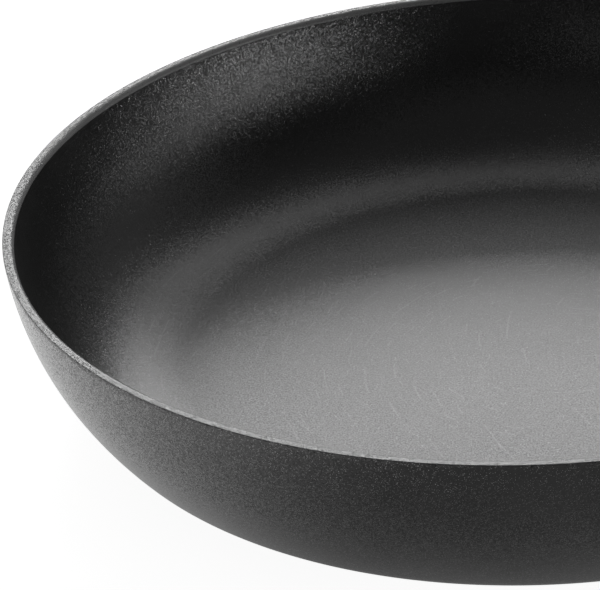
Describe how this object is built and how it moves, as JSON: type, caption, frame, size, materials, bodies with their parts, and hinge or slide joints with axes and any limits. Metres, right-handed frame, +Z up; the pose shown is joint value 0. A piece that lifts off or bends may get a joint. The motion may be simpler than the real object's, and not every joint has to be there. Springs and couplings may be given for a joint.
{
  "type": "omelette pan",
  "caption": "Round, deep-walled omelette pan with curved sides, a flat floor, a steel induction disc in the base and a long moulded handle with a hanging eyelet.",
  "frame": {"origin": "centre of the flat face that the pan rests on", "axes": "+Z up out of the pan, +X along the handle, away from the pan"},
  "size_m": [0.4748, 0.2798, 0.1006],
  "materials": {
    "nonstick_body": "satin black non-stick coating with a fine sparkle, inside, outside and over the rim, on forged aluminium",
    "disc_steel": "ferritic stainless steel, turned in fine circles",
    "bracket_aluminium": "cast and tumbled, satin",
    "rivet_aluminium": "pressed, satin",
    "guard_steel": "brushed along its length",
    "grip_phenolic": "black phenolic moulding, satin",
    "screw_steel": "bright plated",
    "washer_steel": "spring steel, plated",
    "eyelet_steel": "rolled over at both ends and polished"
  },
  "bodies": {
    "root": {"pan_body": "nonstick_body", "induction_disc": "disc_steel", "handle_bracket": "bracket_aluminium", "bracket_rivets": "rivet_aluminium", "flame_guard": "guard_steel", "grip": "grip_phenolic", "grip_screw": "screw_steel", "lock_washer": "washer_steel", "hanging_eyelet": "eyelet_steel"}
  },
  "joints": []
}
